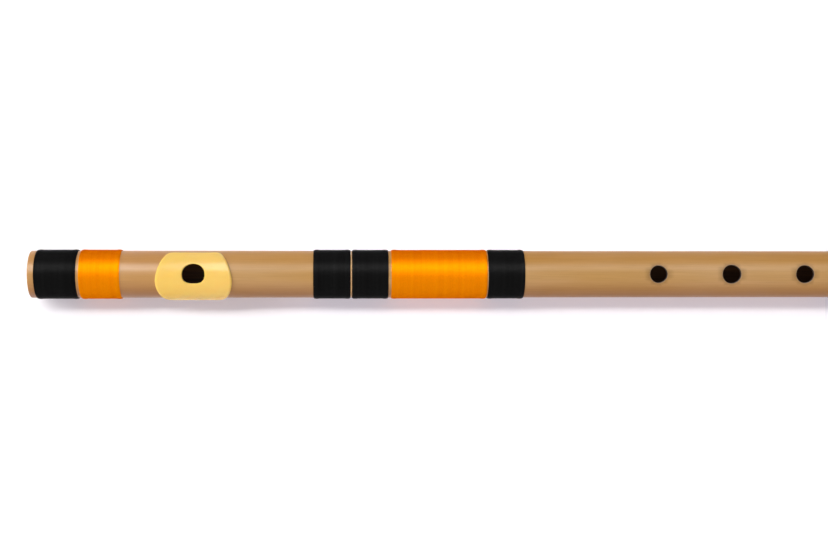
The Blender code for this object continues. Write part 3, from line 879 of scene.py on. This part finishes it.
def area_light(name, tilt, x, size, power, colour="FFFFFF", turn=0, distance=SOFTBOX_DISTANCE,
               shadow=True, gloss=True, diffuse=True):
    """A softbox over the flute, tilted from straight above towards +Y and turned to face along the flute.

    Tilt and turn are in degrees. The distance is from the table's middle line to the softbox's middle.
    """
    data = bpy.data.lights.new(name, "AREA")
    data.color = linear(colour)[:3]
    data.shape = "RECTANGLE"
    data.size, data.size_y = size
    data.energy = power
    data.use_shadow = shadow
    made = bpy.data.objects.new(name, data)
    tilt, turn = math.radians(tilt), math.radians(turn)
    made.location = (x, distance * math.sin(tilt), distance * math.cos(tilt))
    made.rotation_mode = "YXZ"
    made.rotation_euler = (-tilt, -turn, 0)
    made.visible_glossy = gloss
    made.visible_diffuse = diffuse
    bpy.context.scene.collection.objects.link(made)


def studio():
    """White surroundings, two soft lights for the shadow, one for the gloss and a fill from the near side."""
    world = bpy.data.worlds.new("studio")
    world.use_nodes = True
    tree = world.node_tree
    shade = tree.nodes["Background"]
    shade.inputs["Color"].default_value = linear("FFFFFF")
    seen = between(tree, backdrop_rays(tree), 0.0, 1.0, AMBIENT, BACKDROP, smooth=False)
    tree.links.new(seen, shade.inputs["Strength"])
    bpy.context.scene.world = world
    area_light("key_softbox", 22.5, -2.35, (5.2, 0.44), 107.8, turn=40, distance=2.4, gloss=False)
    area_light("broad_softbox", 33, -2.4, (4.8, 1.2), 47.0, gloss=False)
    area_light("gleam_softbox", 34, -0.6, (4.8, 1.8), 176.0, diffuse=False)
    area_light("front_fill", -52, -0.2, (4.8, 2.0), 56.0, "FFF6F6", shadow=False, gloss=False)


def camera():
    """Straight above the flute, opposite the joint, its frame shifted towards the foot as photographed."""
    data = bpy.data.cameras.new("camera")
    data.sensor_width = 36.0
    data.lens = FOCAL_PIXELS * data.sensor_width / PHOTO_WIDTH
    data.shift_x = (PHOTO_WIDTH / 2 - FOOT_OF_VIEW_PIXEL) / PHOTO_WIDTH
    made = bpy.data.objects.new("camera", data)
    x = HEAD_END + (FOOT_OF_VIEW_PIXEL - HEAD_END_PIXEL) / PIXELS_PER_MM * MM
    y = AXIS_Y + (AXIS_PIXEL - PHOTO_HEIGHT / 2) / PIXELS_PER_MM * MM
    made.location = (x, y, AXIS_Z + FOCAL_PIXELS / PIXELS_PER_MM * MM)
    bpy.context.scene.collection.objects.link(made)
    bpy.context.scene.camera = made


def main():
    camera()
    bamboo_tubes((lacquered_bamboo(), cut_bamboo(), bore_bamboo()))
    lip_plate(cream_plastic())
    inner_pieces(natural_cork(), drawn_brass())
    threads = {
        "black": wound_thread("black_polished_thread", "111111", "151515", "191919", roughness=0.34,
                              Metallic=0.75, Specular_IOR_Level=0.0, Specular_Tint=linear("C0C0C0")),
        # The orange thread's EFE1FF is painted shade on its far side
        "orange": wound_thread("orange_silk_thread", "DC7B02", "E08202", "E38903", "EFE1FF", roughness=0.46,
                               Metallic=0.56, Specular_IOR_Level=0.0, Specular_Tint=linear("D08000")),
    }
    tree = winding_tree()
    for number, (name, body, colour) in enumerate(BINDINGS):
        winding(tree, name, body, threads[colour], SEED_STEP * number)
    floor()
    studio()
    bpy.context.scene.view_settings.view_transform = "Standard"


main()
